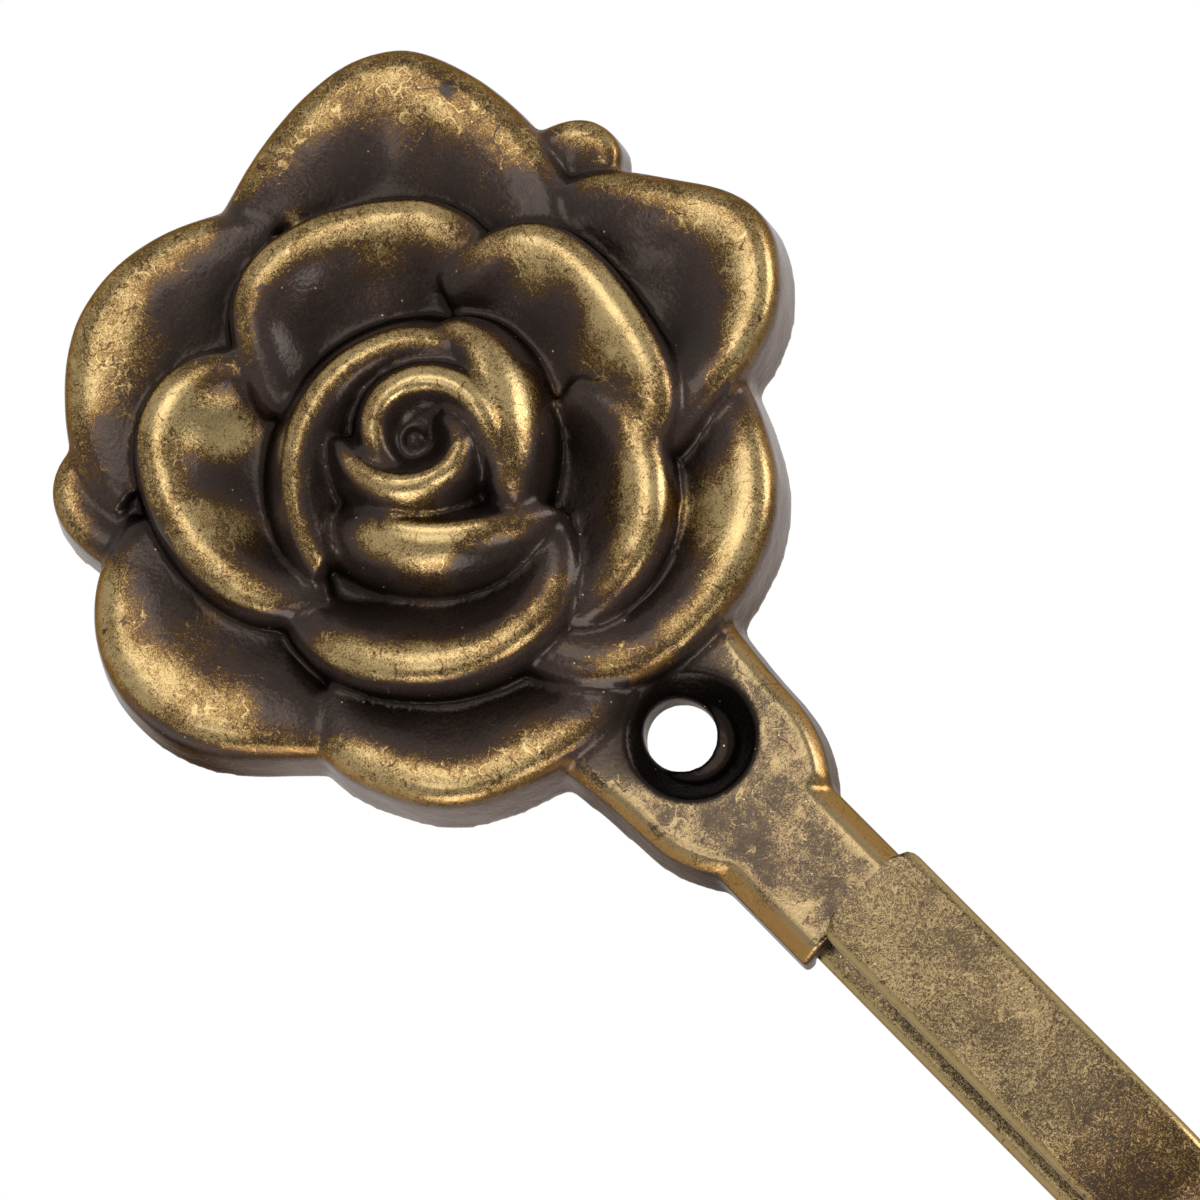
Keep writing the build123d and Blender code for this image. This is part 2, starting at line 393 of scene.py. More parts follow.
class Shape:
    """A mesh as arrays, with what the pieces need to smooth and measure it."""

    def __init__(self, mesh: bpy.types.Mesh) -> None:
        """Read a mesh's points and edges.

        Args:
            mesh: The mesh, which is kept and written to later.
        """
        self.mesh = mesh
        count = len(mesh.vertices)
        self.points = np.empty(count * 3)
        mesh.vertices.foreach_get("co", self.points)
        self.points = self.points.reshape(-1, 3)
        edges = np.empty(len(mesh.edges) * 2, dtype=np.int32)
        mesh.edges.foreach_get("vertices", edges)
        one, two = edges.reshape(-1, 2).T
        self.source = np.concatenate([one, two])
        self.target = np.concatenate([two, one])
        self.degree = np.bincount(self.source, minlength=count)

    def normals(self) -> np.ndarray:
        """Read the point normals of the mesh as it stands."""
        found = np.empty(len(self.mesh.vertices) * 3)
        self.mesh.vertices.foreach_get("normal", found)
        return found.reshape(-1, 3)

    def mean(self, values: np.ndarray) -> np.ndarray:
        """Average each point's neighbours.

        Args:
            values: One value, or one row, for each point.

        Returns:
            The averages, in the same form.
        """
        columns = values.reshape(len(values), -1)
        sums = [
            np.bincount(self.source, weights=column[self.target], minlength=len(values)) for column in columns.T
        ]
        return (np.stack(sums, axis=1) / self.degree[:, None]).reshape(values.shape)

    def smooth(self, amount: np.ndarray, rounds: int) -> None:
        """Relax the points towards their neighbours.

        Args:
            amount: How far each point goes, from 0 to 1.
            rounds: How many times.
        """
        for _ in range(rounds):
            self.points += amount[:, None] * (self.mean(self.points) - self.points)

    def write(self) -> None:
        """Put the points back in the mesh."""
        self.mesh.vertices.foreach_set("co", self.points.astype(np.float32).ravel())
        self.mesh.update()

    def band(self, name: Band, values: np.ndarray) -> None:
        """Store one value for each point.

        Args:
            name: The attribute.
            values: Its values.
        """
        attribute = self.mesh.attributes.new(name.value, "FLOAT", "POINT")
        attribute.data.foreach_set("value", values.astype(np.float32))


@dataclass(frozen=True)
class Spot:
    """A place on the front made brighter or darker, in millimetres across and up from the screw hole: most are
    wear, some painted sheen and painted shade.
    """

    across: float
    up: float
    reach: float
    gain: float


# petals are named by where they lie in the photograph, which shows the hook turned
# most spots stand for wear; some are painted sheen and painted shade, marked where they stand
WEAR_AND_PAINTED_LIGHT_SPOTS = (
    # top petal
    Spot(16.8, 45.6, 3.4, -0.38),
    Spot(12.5, 47.0, 2.6, -0.14),
    Spot(19.5, 38.0, 2.4, -0.24),
    # painted sheen on the floor of the top petal
    Spot(15.7, 42.5, 3.0, 0.40),
    Spot(19.2, 42.3, 0.5, -1.00),
    Spot(5.8, 43.5, 0.6, 0.70),
    # left petal
    Spot(-10.0, 44.0, 3.0, 0.45),
    Spot(-11.1, 39.5, 3.5, 0.18),
    Spot(-4.0, 46.0, 3.0, -0.25),
    Spot(-7.3, 44.4, 1.8, 0.30),
    # leaf between the left petals
    Spot(-19.9, 39.0, 2.0, 0.35),
    # lower left petal
    Spot(-20.3, 26.4, 4.0, 0.28),
    Spot(-21.3, 28.3, 2.0, -0.38),
    Spot(-15.8, 26.9, 2.4, 0.22),
    Spot(-18.9, 18.6, 2.2, -0.40),
    # bottom petal
    Spot(-13.2, 8.7, 3.5, 0.15),
    Spot(-6.6, 7.1, 2.5, 0.25),
    Spot(-6.9, 3.8, 1.8, -0.30),
    Spot(-16.8, 12.6, 1.8, 0.45),
    Spot(-8.7, 2.1, 1.6, -0.55),
    # right petal
    Spot(11.5, 8.6, 2.6, 1.20),
    Spot(7.6, 5.7, 1.8, -0.20),
    Spot(8.4, 1.7, 1.8, -0.30),
    # upper right petal
    Spot(23.1, 20.3, 2.5, 0.12),
    Spot(24.0, 26.6, 3.0, -0.32),
    Spot(16.0, 17.5, 1.6, -0.30),
    # second ring, top
    Spot(0.4, 38.8, 2.4, -0.55),
    Spot(9.0, 38.0, 2.5, -0.28),
    Spot(-1.4, 36.5, 1.5, -0.60),
    Spot(8.3, 35.3, 3.0, 0.22),
    Spot(7.8, 36.5, 1.5, 0.35),
    # second ring, upper right
    Spot(16.0, 22.4, 2.4, 0.30),
    Spot(14.5, 28.3, 1.8, 0.90),
    Spot(13.5, 21.1, 2.2, 0.65),
    Spot(14.1, 15.9, 1.5, -0.25),
    # second ring, right
    Spot(9.3, 12.6, 2.4, 0.45),
    Spot(7.4, 12.8, 1.6, 0.35),
    Spot(7.6, 10.0, 1.5, -0.45),
    Spot(11.1, 13.0, 1.4, -0.30),
    # second ring, bottom
    Spot(-5.6, 11.4, 2.0, -0.40),
    # second ring, left
    Spot(-7.9, 36.0, 2.2, 1.30),
    Spot(-6.8, 35.1, 1.5, 0.50),
    Spot(-6.4, 39.6, 1.8, -0.35),
    Spot(-14.4, 33.3, 1.6, -0.25),
    Spot(-14.6, 33.3, 1.6, -0.30),
    Spot(-12.2, 31.0, 2.0, 0.70),
    Spot(-11.2, 29.2, 1.8, 0.60),
    # inner, left
    Spot(-4.8, 29.3, 2.5, -0.45),
    Spot(-7.8, 26.1, 2.0, -0.40),
    Spot(8.0, 27.3, 1.4, -0.30),
    # inner, right
    Spot(8.1, 22.4, 2.2, 0.75),
    Spot(8.7, 25.9, 1.6, 0.25),
    Spot(4.1, 18.7, 1.8, -0.40),
    # inner, bottom
    Spot(-4.0, 19.1, 2.4, 0.75),
    Spot(-2.1, 17.4, 1.5, -0.75),
    Spot(0.3, 16.5, 1.6, -0.30),
    # bud
    Spot(-2.2, 22.0, 1.6, 0.45),
    # neck and tongue
    Spot(-0.3, -6.8, 2.2, -0.24),
    Spot(-2.8, -9.3, 1.8, -0.40),
    Spot(-3.1, -5.3, 2.0, -0.18),
    # painted shade at the foot of the rose, next to the countersink
    Spot(5.4, 1.7, 1.9, -0.45),
    Spot(1.8, 4.4, 1.8, -0.40),
    Spot(-4.3, 2.4, 1.8, -0.45),
    Spot(0.6, -13.8, 2.0, -0.16),
)


class Relief:
    """Height of the casting off the wall, sampled on a grid over its front."""

    def __init__(self, mesh: bpy.types.Mesh, step: float, margin: float) -> None:
        """Sample the front by rays along the wall's normal.

        Args:
            mesh: The casting.
            step: The grid's spacing.
            margin: Bare wall left round the casting.
        """
        points = np.array([v.co for v in mesh.vertices])
        tree = BVHTree.FromPolygons([v.co for v in mesh.vertices], [p.vertices for p in mesh.polygons])
        self.step = step
        self.low = points.min(axis=0)[[0, 2]] - margin
        span = points.max(axis=0)[[0, 2]] + margin - self.low
        self.shape = tuple((span / step).astype(int) + 1)
        self.height = np.zeros(self.shape)
        ahead = Vector((0.0, 1.0, 0.0))
        for i in range(self.shape[0]):
            for j in range(self.shape[1]):
                start = Vector((self.low[0] + i * step, -0.1, self.low[1] + j * step))
                hit = tree.ray_cast(start, ahead)[0]
                if hit is not None:
                    self.height[i, j] = max(0.0, -hit.y)

    def blurred(self, radius: float) -> np.ndarray:
        """Blur the height with a round brush.

        Args:
            radius: The standard deviation of the brush.

        Returns:
            The blurred grid.
        """
        reach = int(3 * radius / self.step) + 1
        brush = np.exp(-0.5 * (np.arange(-reach, reach + 1) * self.step / radius) ** 2)
        brush /= brush.sum()
        rows = np.apply_along_axis(lambda line: np.convolve(line, brush, mode="same"), 0, self.height)
        return np.apply_along_axis(lambda line: np.convolve(line, brush, mode="same"), 1, rows)

    def pad(self, radius: float) -> np.ndarray:
        """Lay a soft polishing pad on the relief: it rests on the crests and doesn't reach the valleys.

        Args:
            radius: The pad's tightest curve.

        Returns:
            The pad's height on the grid.
        """
        reach = int(math.sqrt(2 * radius * self.height.max()) / self.step) + 1
        drop = [(k, (k * self.step) ** 2 / (2 * radius)) for k in range(-reach, reach + 1)]
        laid = self.height
        for axis in (0, 1):
            wide = np.pad(laid, [(reach, reach) if side == axis else (0, 0) for side in (0, 1)], mode="edge")
            laid = np.max([self.window(wide, k, reach, axis) - fall for k, fall in drop], axis=0)
        for axis in (0, 1):
            wide = np.pad(laid, [(reach, reach) if side == axis else (0, 0) for side in (0, 1)], mode="edge")
            laid = np.min([self.window(wide, k, reach, axis) + fall for k, fall in drop], axis=0)
        return laid

    @staticmethod
    def window(wide: np.ndarray, shift: int, reach: int, axis: int) -> np.ndarray:
        """Cut the shifted middle out of a padded grid."""
        return np.take(wide, np.arange(reach + shift, wide.shape[axis] - reach + shift), axis=axis)

    def at(self, grid: np.ndarray, points: np.ndarray) -> np.ndarray:
        """Read a grid at points, between its samples.

        Args:
            grid: Values on the grid.
            points: Points of the row frame.

        Returns:
            One value for each point.
        """
        place = (points[:, [0, 2]] - self.low) / self.step
        cell = np.clip(place.astype(int), 0, np.array(self.shape) - 2)
        u, v = np.clip(place - cell, 0, 1).T
        i, j = cell.T
        low = grid[i, j] * (1 - v) + grid[i, j + 1] * v
        high = grid[i + 1, j] * (1 - v) + grid[i + 1, j + 1] * v
        return low * (1 - u) + high * u


def step_between(low: float, high: float, values: np.ndarray) -> np.ndarray:
    """Ease from 0 to 1 between two limits."""
    t = np.clip((values - low) / (high - low), 0, 1)
    return t * t * (3 - 2 * t)


def distance(points: np.ndarray, place: tuple[float, float]) -> np.ndarray:
    """Measure along the wall from each point to a place across and up."""
    return np.hypot(points[:, 0] - place[0], points[:, 2] - place[1])


@dataclass
class RoseCasting:
    """The cast rose with its neck and tongue: a close skin over the CAD solid, softened as a casting is."""

    node: str = "rose_plate"
    # the skin: its mesh, how far its edges are softened, and the casting's unevenness
    voxel: float = 0.285 * MM
    weld: float = 0.0005 * MM
    soften_rounds: int = 3
    soften: float = 0.5
    neck_soften: float = 0.5
    back_rounds: int = 5
    back_level: float = 1.2 * MM
    lump_size: float = 2.4 * MM
    lump_height: float = 0.035 * MM
    # where the neck ends and the rose begins
    neck_level: float = 1.0 * MM
    rose_level: float = 4.0 * MM
    # the relief's samples, and the brushes and pad that are laid on it
    relief_step: float = 0.3 * MM
    relief_margin: float = 9.0 * MM
    pad_radius: float = 10.0 * MM
    pad_reach: float = 0.28 * MM
    proud_reach: float = 3.0 * MM
    proud_full: float = 1.9 * MM
    valley_reach: float = 0.9 * MM
    valley_full: float = 1.1 * MM
    foot_reach: float = 1.6 * MM
    foot_full: float = 1.3 * MM
    edge_reach: float = 0.5 * MM
    # the outer rim: what lies beyond it is bare wall; tilts are shares of the normal along the wall
    rim_reach: float = 3.5 * MM
    bare_level: float = 0.3 * MM
    rim_tilt: tuple[float, float] = (0.2, 0.5)
    roll_tilt: tuple[float, float] = (0.5, 0.84)
    wall_tilt: tuple[float, float] = (0.86, 0.985)
    # rubbing on the rose: by the pad, on proud places, on what faces the front, with less on slopes as wear and
    # as painted shade, and more the higher it stands
    pad_rub: float = 0.62
    rim_ease: float = 0.65
    proud_rub: float = 0.38
    inner_facing: tuple[float, float] = (0.35, 0.88)
    outer_facing: tuple[float, float] = (0.0, 0.6)
    side_rub_and_shade: float = 0.40
    base_rub: float = 0.56
    rise_rub: float = 0.045 / MM
    spot_level: float = 2.0 * MM
    rub_limit: float = 0.98
    back_rub: float = 0.35
    # rubbing on the neck: its flat face, its bevels and its edges; and painted shade on its side walls
    face_levels: tuple[float, float] = (4.1 * MM, 4.5 * MM)
    edge_rise: tuple[float, float] = (0.02 * MM, 0.12 * MM)
    neck_rub: float = 0.60
    bevel_rub: float = 0.82
    edge_rub: float = 0.5
    # painted shade on the neck's side walls
    neck_wall_shade: float = 0.6
    # dark valleys, the feet of petals, what lies far under the pad, and the heart of the rose
    valley_range: tuple[float, float] = (0.15, 1.0)
    foot_range: tuple[float, float] = (0.1, 0.9)
    foot_dark: float = 0.9
    dim_from: float = 0.4 * MM
    dim_full: float = 2.3 * MM
    dim_dark: float = 0.75
    heart: tuple[float, float] = (1.0 * MM, 22.5 * MM)
    heart_reach: float = 11.0 * MM
    heart_dark: float = 0.6
    heart_rub: float = 0.4
    spot_clears: float = 0.8
    # the blackened countersink, with a soft edge; the edge is wider towards the rose, where it is painted shade
    # from the rose
    sink: tuple[float, float] = (0.3 * MM, -1.0 * MM)
    sink_radius: float = 4.4 * MM
    sink_halo: float = 0.5 * MM
    rose_shade_halo: float = 2.2 * MM
    rose_shade_levels: tuple[float, float] = (-2.0 * MM, 4.0 * MM)
    sink_edge: float = 0.3 * MM
    sink_levels: tuple[float, float] = (5.8 * MM, 4.8 * MM)
    # painted shade on one stretch of rolled rim and its side wall at the lower left, and amber on bevels and
    # rolled rims
    shade: tuple[float, float] = (-25.0 * MM, 22.3 * MM)
    shade_reach: float = 6.0 * MM
    shade_dark: float = 0.9
    bevel_amber: float = 0.6
    roll_amber: float = 0.4
    behind_tilt: float = 0.3

    def build(self, frame: dict, finish: AntiqueBrass) -> bpy.types.Object:
        """Make the skin, dress it and set it in place of the solid.

        Args:
            frame: The loaded frame.
            finish: Its finish.

        Returns:
            The finished piece.
        """
        piece = bpy.data.objects.new("rose_casting", self.skin(frame["nodes"][self.node]))
        bpy.context.scene.collection.objects.link(piece)
        shape = Shape(piece.data)
        carved = step_between(self.neck_level, self.rose_level, shape.points[:, 2])
        shape.smooth(self.soften * (self.neck_soften + (1 - self.neck_soften) * carved), self.soften_rounds)
        back = step_between(self.back_level, 0.0, -shape.points[:, 1]) * (1 - carved)
        shape.smooth(self.soften * back, self.back_rounds)
        shape.write()
        lumps = [noise.noise(Vector(point) / self.lump_size) for point in shape.points]
        shape.points += shape.normals() * (self.lump_height * np.array(lumps) * carved)[:, None]
        shape.write()
        self.rub(shape)
        piece.data.polygons.foreach_set("use_smooth", np.ones(len(piece.data.polygons), dtype=bool))
        piece.data.materials.append(finish.material())
        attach(piece, BODY)
        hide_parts(self.node)
        return piece

    def skin(self, node: bpy.types.Object) -> bpy.types.Mesh:
        """Lay an even close mesh over the solid.

        Args:
            node: The CAD node.

        Returns:
            The new mesh.
        """
        mesh = node.data.copy()
        work = bmesh.new()
        work.from_mesh(mesh)
        bmesh.ops.remove_doubles(work, verts=work.verts, dist=self.weld)
        work.to_mesh(mesh)
        work.free()
        stand = bpy.data.objects.new("casting_work", mesh)
        bpy.context.scene.collection.objects.link(stand)
        remesh = stand.modifiers.new("skin", "REMESH")
        remesh.mode = "VOXEL"
        remesh.voxel_size = self.voxel
        graph = bpy.context.evaluated_depsgraph_get()
        skin = bpy.data.meshes.new_from_object(stand.evaluated_get(graph))
        bpy.data.objects.remove(stand)
        skin.materials.clear()
        return skin

    def rub(self, shape: Shape) -> None:
        """Find where rubbing reaches, which valleys stay dark, where the outer side walls are, and where shade is
        painted.

        Args:
            shape: The skin.
        """
        relief = Relief(shape.mesh, self.relief_step, self.relief_margin)
        points, normals = shape.points, shape.normals()
        height = -points[:, 1]
        gap = np.maximum(relief.at(relief.pad(self.pad_radius), points) - height, 0)
        sideways = np.hypot(normals[:, 0], normals[:, 2])
        outer = self.outer_rim(relief, points, normals, sideways)
        carved = step_between(self.neck_level, self.rose_level, points[:, 2])
        face = step_between(*self.face_levels, height)
        flat, bevel = (1 - carved) * face, (1 - carved) * (1 - face)
        edge = step_between(*self.edge_rise, height - relief.at(relief.blurred(self.edge_reach), points))
        rubbed = self.polished(relief, points, normals, gap, outer) * carved
        rubbed += self.neck_rub * flat + self.bevel_rub * bevel + self.edge_rub * edge * (1 - carved)
        worn, cleared = self.wear_and_painted_light_spots(points)
        rubbed = np.maximum(rubbed + worn, 0)
        rubbed /= (1 + (rubbed / self.rub_limit) ** 4) ** 0.25
        wall = step_between(*self.wall_tilt, sideways) * outer
        roll = carved * outer * step_between(*self.roll_tilt, sideways)
        # painted shade: the rolled rim and side wall at the lower left are darkened
        shaded = np.exp(-(distance(points, self.shade) / self.shade_reach) ** 2)
        rubbed *= 1 - self.shade_dark * shaded * roll
        # the side walls take the painted shade: at the lower left and on the neck
        rubbed += wall * (1 - shaded - self.neck_wall_shade * (1 - carved) - rubbed)
        hollow = self.hollows(relief, points, gap, rubbed) * (1 - self.spot_clears * cleared)
        # the countersink's dark edge widens towards the rose: painted shade from the rose
        halo = self.sink_halo + self.rose_shade_halo * step_between(*self.rose_shade_levels, points[:, 2])
        inside = self.sink_radius + halo - distance(points, self.sink)
        sunk = step_between(0, 1, inside / (halo + self.sink_edge)) * step_between(*self.sink_levels, height)
        hollow = np.maximum(sunk, hollow * (1 - wall))
        rubbed *= 1 - sunk
        amber = self.bevel_amber * bevel + self.roll_amber * roll * (1 - shaded)
        amber *= (1 - wall) * (1 - sunk)
        behind = normals[:, 1] > self.behind_tilt
        shape.band(Band.RUBBED, np.where(behind, self.back_rub, rubbed))
        shape.band(Band.HOLLOW, np.where(behind, 0.0, hollow))
        shape.band(Band.WALL, wall * (1 - sunk))
        shape.band(Band.FACE, flat)
        shape.band(Band.AMBER, np.where(behind, 0.0, amber))

    def outer_rim(self, relief: Relief, points: np.ndarray, normals: np.ndarray,
                  sideways: np.ndarray) -> np.ndarray:
        """Find the points on the outer rim: they lean outwards, and bare wall lies beyond them.

        Args:
            relief: The casting's height.
            points: The skin's points.
            normals: Their normals.
            sideways: How far each normal leans along the wall.

        Returns:
            One on the rim and zero inside it.
        """
        beyond = points.copy()
        beyond[:, [0, 2]] += self.rim_reach * normals[:, [0, 2]] / np.maximum(sideways, 1e-6)[:, None]
        return (relief.at(relief.height, beyond) < self.bare_level) * step_between(*self.rim_tilt, sideways)

    def polished(self, relief: Relief, points: np.ndarray, normals: np.ndarray, gap: np.ndarray,
                 outer: np.ndarray) -> np.ndarray:
        """Rub the rose with the pad: slopes that turn from the front get less, as wear and as painted shade.

        Args:
            relief: The casting's height.
            points: The skin's points.
            normals: Their normals.
            gap: How far the pad stays off each point.
            outer: One on the outer rim.

        Returns:
            How far each point is rubbed.
        """
        height = -points[:, 1]
        proud = height - relief.at(relief.blurred(self.proud_reach), points)
        # less rubbing on slopes that turn from the front: wear, and painted shade on the slopes
        facing = step_between(*self.inner_facing, -normals[:, 1]) * (1 - outer)
        facing += step_between(*self.outer_facing, -normals[:, 1]) * outer
        rubbed = self.pad_rub * np.exp(-gap * (1 - self.rim_ease * outer) / self.pad_reach)
        rubbed += self.proud_rub * np.clip(proud / self.proud_full, 0, 1)
        return rubbed * (self.side_rub_and_shade + (1 - self.side_rub_and_shade) * facing) * (self.base_rub + self.rise_rub * height)

    def wear_and_painted_light_spots(self, points: np.ndarray) -> tuple[np.ndarray, np.ndarray]:
        """Add up the spots of wear, and the spots of painted sheen and painted shade.

        Args:
            points: The skin's points.

        Returns:
            The change of the rubbing, and how far the dark is cleared from hollows, from 0 to 1.
        """
        worn, cleared = np.zeros(len(points)), np.zeros(len(points))
        for spot in WEAR_AND_PAINTED_LIGHT_SPOTS:
            away = distance(points, (spot.across * MM, spot.up * MM)) / (spot.reach * MM)
            change = spot.gain * np.exp(-away ** 2) * (-points[:, 1] > self.spot_level)
            worn += change
            cleared += np.maximum(change, 0)
        return worn, np.clip(cleared, 0, 1)

    def hollows(self, relief: Relief, points: np.ndarray, gap: np.ndarray, rubbed: np.ndarray) -> np.ndarray:
        """Find what stays dark: valleys, the feet of petals, what the pad is far from, and the heart.

        Args:
            relief: The casting's height.
            points: The skin's points.
            gap: How far the pad stays off each point.
            rubbed: How far each point is rubbed.

        Returns:
            How dark each point stays.
        """
        valley = relief.at(relief.blurred(self.valley_reach), points) + points[:, 1]
        foot = relief.at(relief.blurred(self.foot_reach), points) + points[:, 1]
        heart = np.exp(-(distance(points, self.heart) / self.heart_reach) ** 4)
        return np.max([
            step_between(*self.valley_range, valley / self.valley_full),
            self.foot_dark * step_between(*self.foot_range, foot / self.foot_full),
            self.dim_dark * np.clip((gap - self.dim_from) / (self.dim_full - self.dim_from), 0, 1),
            self.heart_dark * heart * (1 - np.clip(rubbed / self.heart_rub, 0, 1)),
        ], axis=0)


@dataclass
class BentStrip:
    """The hook: a flat strip with rounded edges, bent to a U along its path, with two stud holes."""

    node: str = "arm"
    width: float = 7.6 * MM
    thickness: float = 2.0 * MM
    edge_radius: float = 0.7 * MM
    top_level: float = -8.5 * MM
    bend_level: float = -42.0 * MM
    bend_radius: float = 10.5 * MM
    tip_level: float = -19.1 * MM
    tip_radius: float = 1.1 * MM
    studs: int = 2
    hole_radius: float = 1.55 * MM
    hole_level: float = -11.3 * MM
    hole_spacing: float = 3.3 * MM
    # the mesh
    rings: int = 240
    edge_steps: int = 8
    hole_sides: int = 48
    drill_depth: float = 4.0
    sharp_degrees: float = 40.0
    # the wear: worn edges; and painted shade on the bend, where the strip curves away
    face_rub: float = 0.56
    edge_rub: float = 0.60
    edge_flat: float = 0.2
    bend_shade: float = 0.16
    bend_shade_levels: tuple[float, float] = (-36.0 * MM, -44.0 * MM)

    def build(self, finish: AntiqueBrass) -> bpy.types.Object:
        """Bend the strip, dress it and set it in place of the solid.

        Args:
            finish: Its finish.

        Returns:
            The finished piece.
        """
        carrier = bpy.data.objects.new("strip_work", bpy.data.meshes.new("strip_work"))
        bpy.context.scene.collection.objects.link(carrier)
        bend = carrier.modifiers.new("bend", "NODES")
        bend.node_group = self.tree(finish.material())
        sizes = self.sizes()
        for item in bend.node_group.interface.items_tree:
            if item.name in sizes:
                bend[item.identifier] = sizes[item.name]
        graph = bpy.context.evaluated_depsgraph_get()
        mesh = bpy.data.meshes.new_from_object(carrier.evaluated_get(graph))
        bpy.data.objects.remove(carrier)
        piece = bpy.data.objects.new("bent_strip", mesh)
        bpy.context.scene.collection.objects.link(piece)
        shape = Shape(mesh)
        self.round_tip(shape)
        shape.write()
        self.rub(shape)
        mesh.set_sharp_from_angle(angle=math.radians(self.sharp_degrees))
        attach(piece, BODY)
        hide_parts(self.node)
        return piece

    def sizes(self) -> dict[str, float]:
        """Give the sizes that the bending nodes take, by input name."""
        return {
            "Width": self.width, "Thickness": self.thickness, "Edge Radius": self.edge_radius,
            "Back Leg": self.top_level - self.bend_level, "Front Leg": self.tip_level - self.bend_level,
            "Bend Radius": self.bend_radius, "Top Level": self.top_level, "Hole Radius": self.hole_radius,
            "Hole Level": self.hole_level, "Hole Spacing": self.hole_spacing,
        }

    def tree(self, material: bpy.types.Material) -> bpy.types.NodeTree:
        """Build the nodes that bend a strip: a line is rolled round the bend and given the strip's section.

        Args:
            material: The strip's finish.

        Returns:
            The node tree.
        """
        tree = bpy.data.node_groups.new("bent strip", "GeometryNodeTree")
        for name in self.sizes():
            tree.interface.new_socket(name, in_out="INPUT", socket_type="NodeSocketFloat")
        tree.interface.new_socket("Strip", in_out="OUTPUT", socket_type="NodeSocketGeometry")
        add = partial(add_node, tree)
        size = add("NodeGroupInput").outputs
        # a straight line as long as both legs and the bend
        arc = add(MATH, {0: size["Bend Radius"], 1: math.pi}, operation="MULTIPLY")
        bent_end = add(MATH, {0: size["Back Leg"], 1: arc}, operation="ADD")
        whole = add(MATH, {0: bent_end, 1: size["Front Leg"]}, operation="ADD")
        line = add("GeometryNodeCurvePrimitiveLine", {"End": add(VECTOR, {"Z": whole})})
        line = add("GeometryNodeResampleCurve", {"Curve": line, "Count": self.rings})
        # each point goes down the back leg, round the bend and up the front leg
        along = add("ShaderNodeSeparateXYZ", {0: add("GeometryNodeInputPosition")}).outputs["Z"]
        turn = add(MATH, {0: along, 1: size["Back Leg"]}, operation="SUBTRACT")
        turn = add(MATH, {0: turn, 1: size["Bend Radius"]}, operation="DIVIDE")
        turn = add(CLAMP, {"Value": turn, "Min": 0.0, "Max": math.pi})
        back = add(MATH, {0: along, 1: size["Back Leg"]}, operation="MINIMUM")
        fall = add(MATH, {0: turn}, operation="SINE")
        fall = add(MATH, {0: fall, 1: size["Bend Radius"]}, operation="MULTIPLY")
        sunk = add(MATH, {0: back, 1: fall}, operation="ADD")
        risen = add(MATH, {0: along, 1: bent_end}, operation="SUBTRACT")
        risen = add(MATH, {0: risen, 1: 0.0}, operation="MAXIMUM")
        level = add(MATH, {0: size["Top Level"], 1: sunk}, operation="SUBTRACT")
        level = add(MATH, {0: level, 1: risen}, operation="ADD")
        swing = add(MATH, {0: turn}, operation="COSINE")
        swing = add(MATH, {0: swing, 1: 1.0}, operation="SUBTRACT")
        swing = add(MATH, {0: swing, 1: size["Bend Radius"]}, operation="MULTIPLY")
        half = add(MATH, {0: size["Thickness"], 1: 0.5}, operation="MULTIPLY")
        off = add(MATH, {0: swing, 1: half}, operation="SUBTRACT")
        path = add("GeometryNodeSetPosition", {"Geometry": line, "Position": add(VECTOR, {"Y": off, "Z": level})})
        path = add("GeometryNodeSetCurveNormal", {"Curve": path, "Normal": (1.0, 0.0, 0.0)}, mode="FREE")
        # the strip's section
        section = add("GeometryNodeCurvePrimitiveQuadrilateral", {
            "Width": size["Width"], "Height": size["Thickness"],
        })
        section = add("GeometryNodeFilletCurve", {
            "Curve": section, "Radius": size["Edge Radius"], "Count": self.edge_steps,
        }, mode="POLY")
        strip = add("GeometryNodeCurveToMesh", {"Curve": path, "Profile Curve": section, "Fill Caps": True})
        # the stud holes
        down = add(MATH, {0: size["Hole Spacing"], 1: -1.0}, operation="MULTIPLY")
        spots = add("GeometryNodeMeshLine", {
            "Count": self.studs, "Start Location": add(VECTOR, {"Z": size["Hole Level"]}),
            "Offset": add(VECTOR, {"Z": down}),
        })
        drill = add("GeometryNodeMeshCylinder", {
            "Vertices": self.hole_sides, "Radius": size["Hole Radius"],
            "Depth": add(MATH, {0: size["Thickness"], 1: self.drill_depth}, operation="MULTIPLY"),
        })
        drills = add("GeometryNodeInstanceOnPoints", {
            "Points": spots, "Instance": drill, "Rotation": (math.pi / 2, 0.0, 0.0),
        })
        drills = add("GeometryNodeRealizeInstances", {"Geometry": drills})
        holed = add("GeometryNodeMeshBoolean", {0: strip, 1: drills}, operation="DIFFERENCE")
        smooth = add("GeometryNodeSetShadeSmooth", {"Geometry": holed})
        whole_strip = add("GeometryNodeRealizeInstances", {"Geometry": smooth})
        dressed = add("GeometryNodeSetMaterial", {"Geometry": whole_strip, "Material": material})
        add("NodeGroupOutput", {"Strip": dressed})
        return tree

    def round_tip(self, shape: Shape) -> None:
        """Round the corners of the free tip.

        Args:
            shape: The strip.
        """
        front = shape.points[:, 1] < -self.bend_radius
        left = np.clip((shape.points[:, 2] - self.tip_level + self.tip_radius) / self.tip_radius, 0, 1)
        half = self.width / 2
        drawn_in = (half - self.tip_radius * (1 - np.sqrt(1 - left ** 2))) / half
        shape.points[front, 0] *= drawn_in[front]

    def rub(self, shape: Shape) -> None:
        """Rub the rounded edges brighter than the faces, and paint shade on the bend.

        Args:
            shape: The strip.
        """
        half = self.width / 2
        edge = step_between(half - self.edge_radius, half - self.edge_flat * self.edge_radius,
                            np.abs(shape.points[:, 0]))
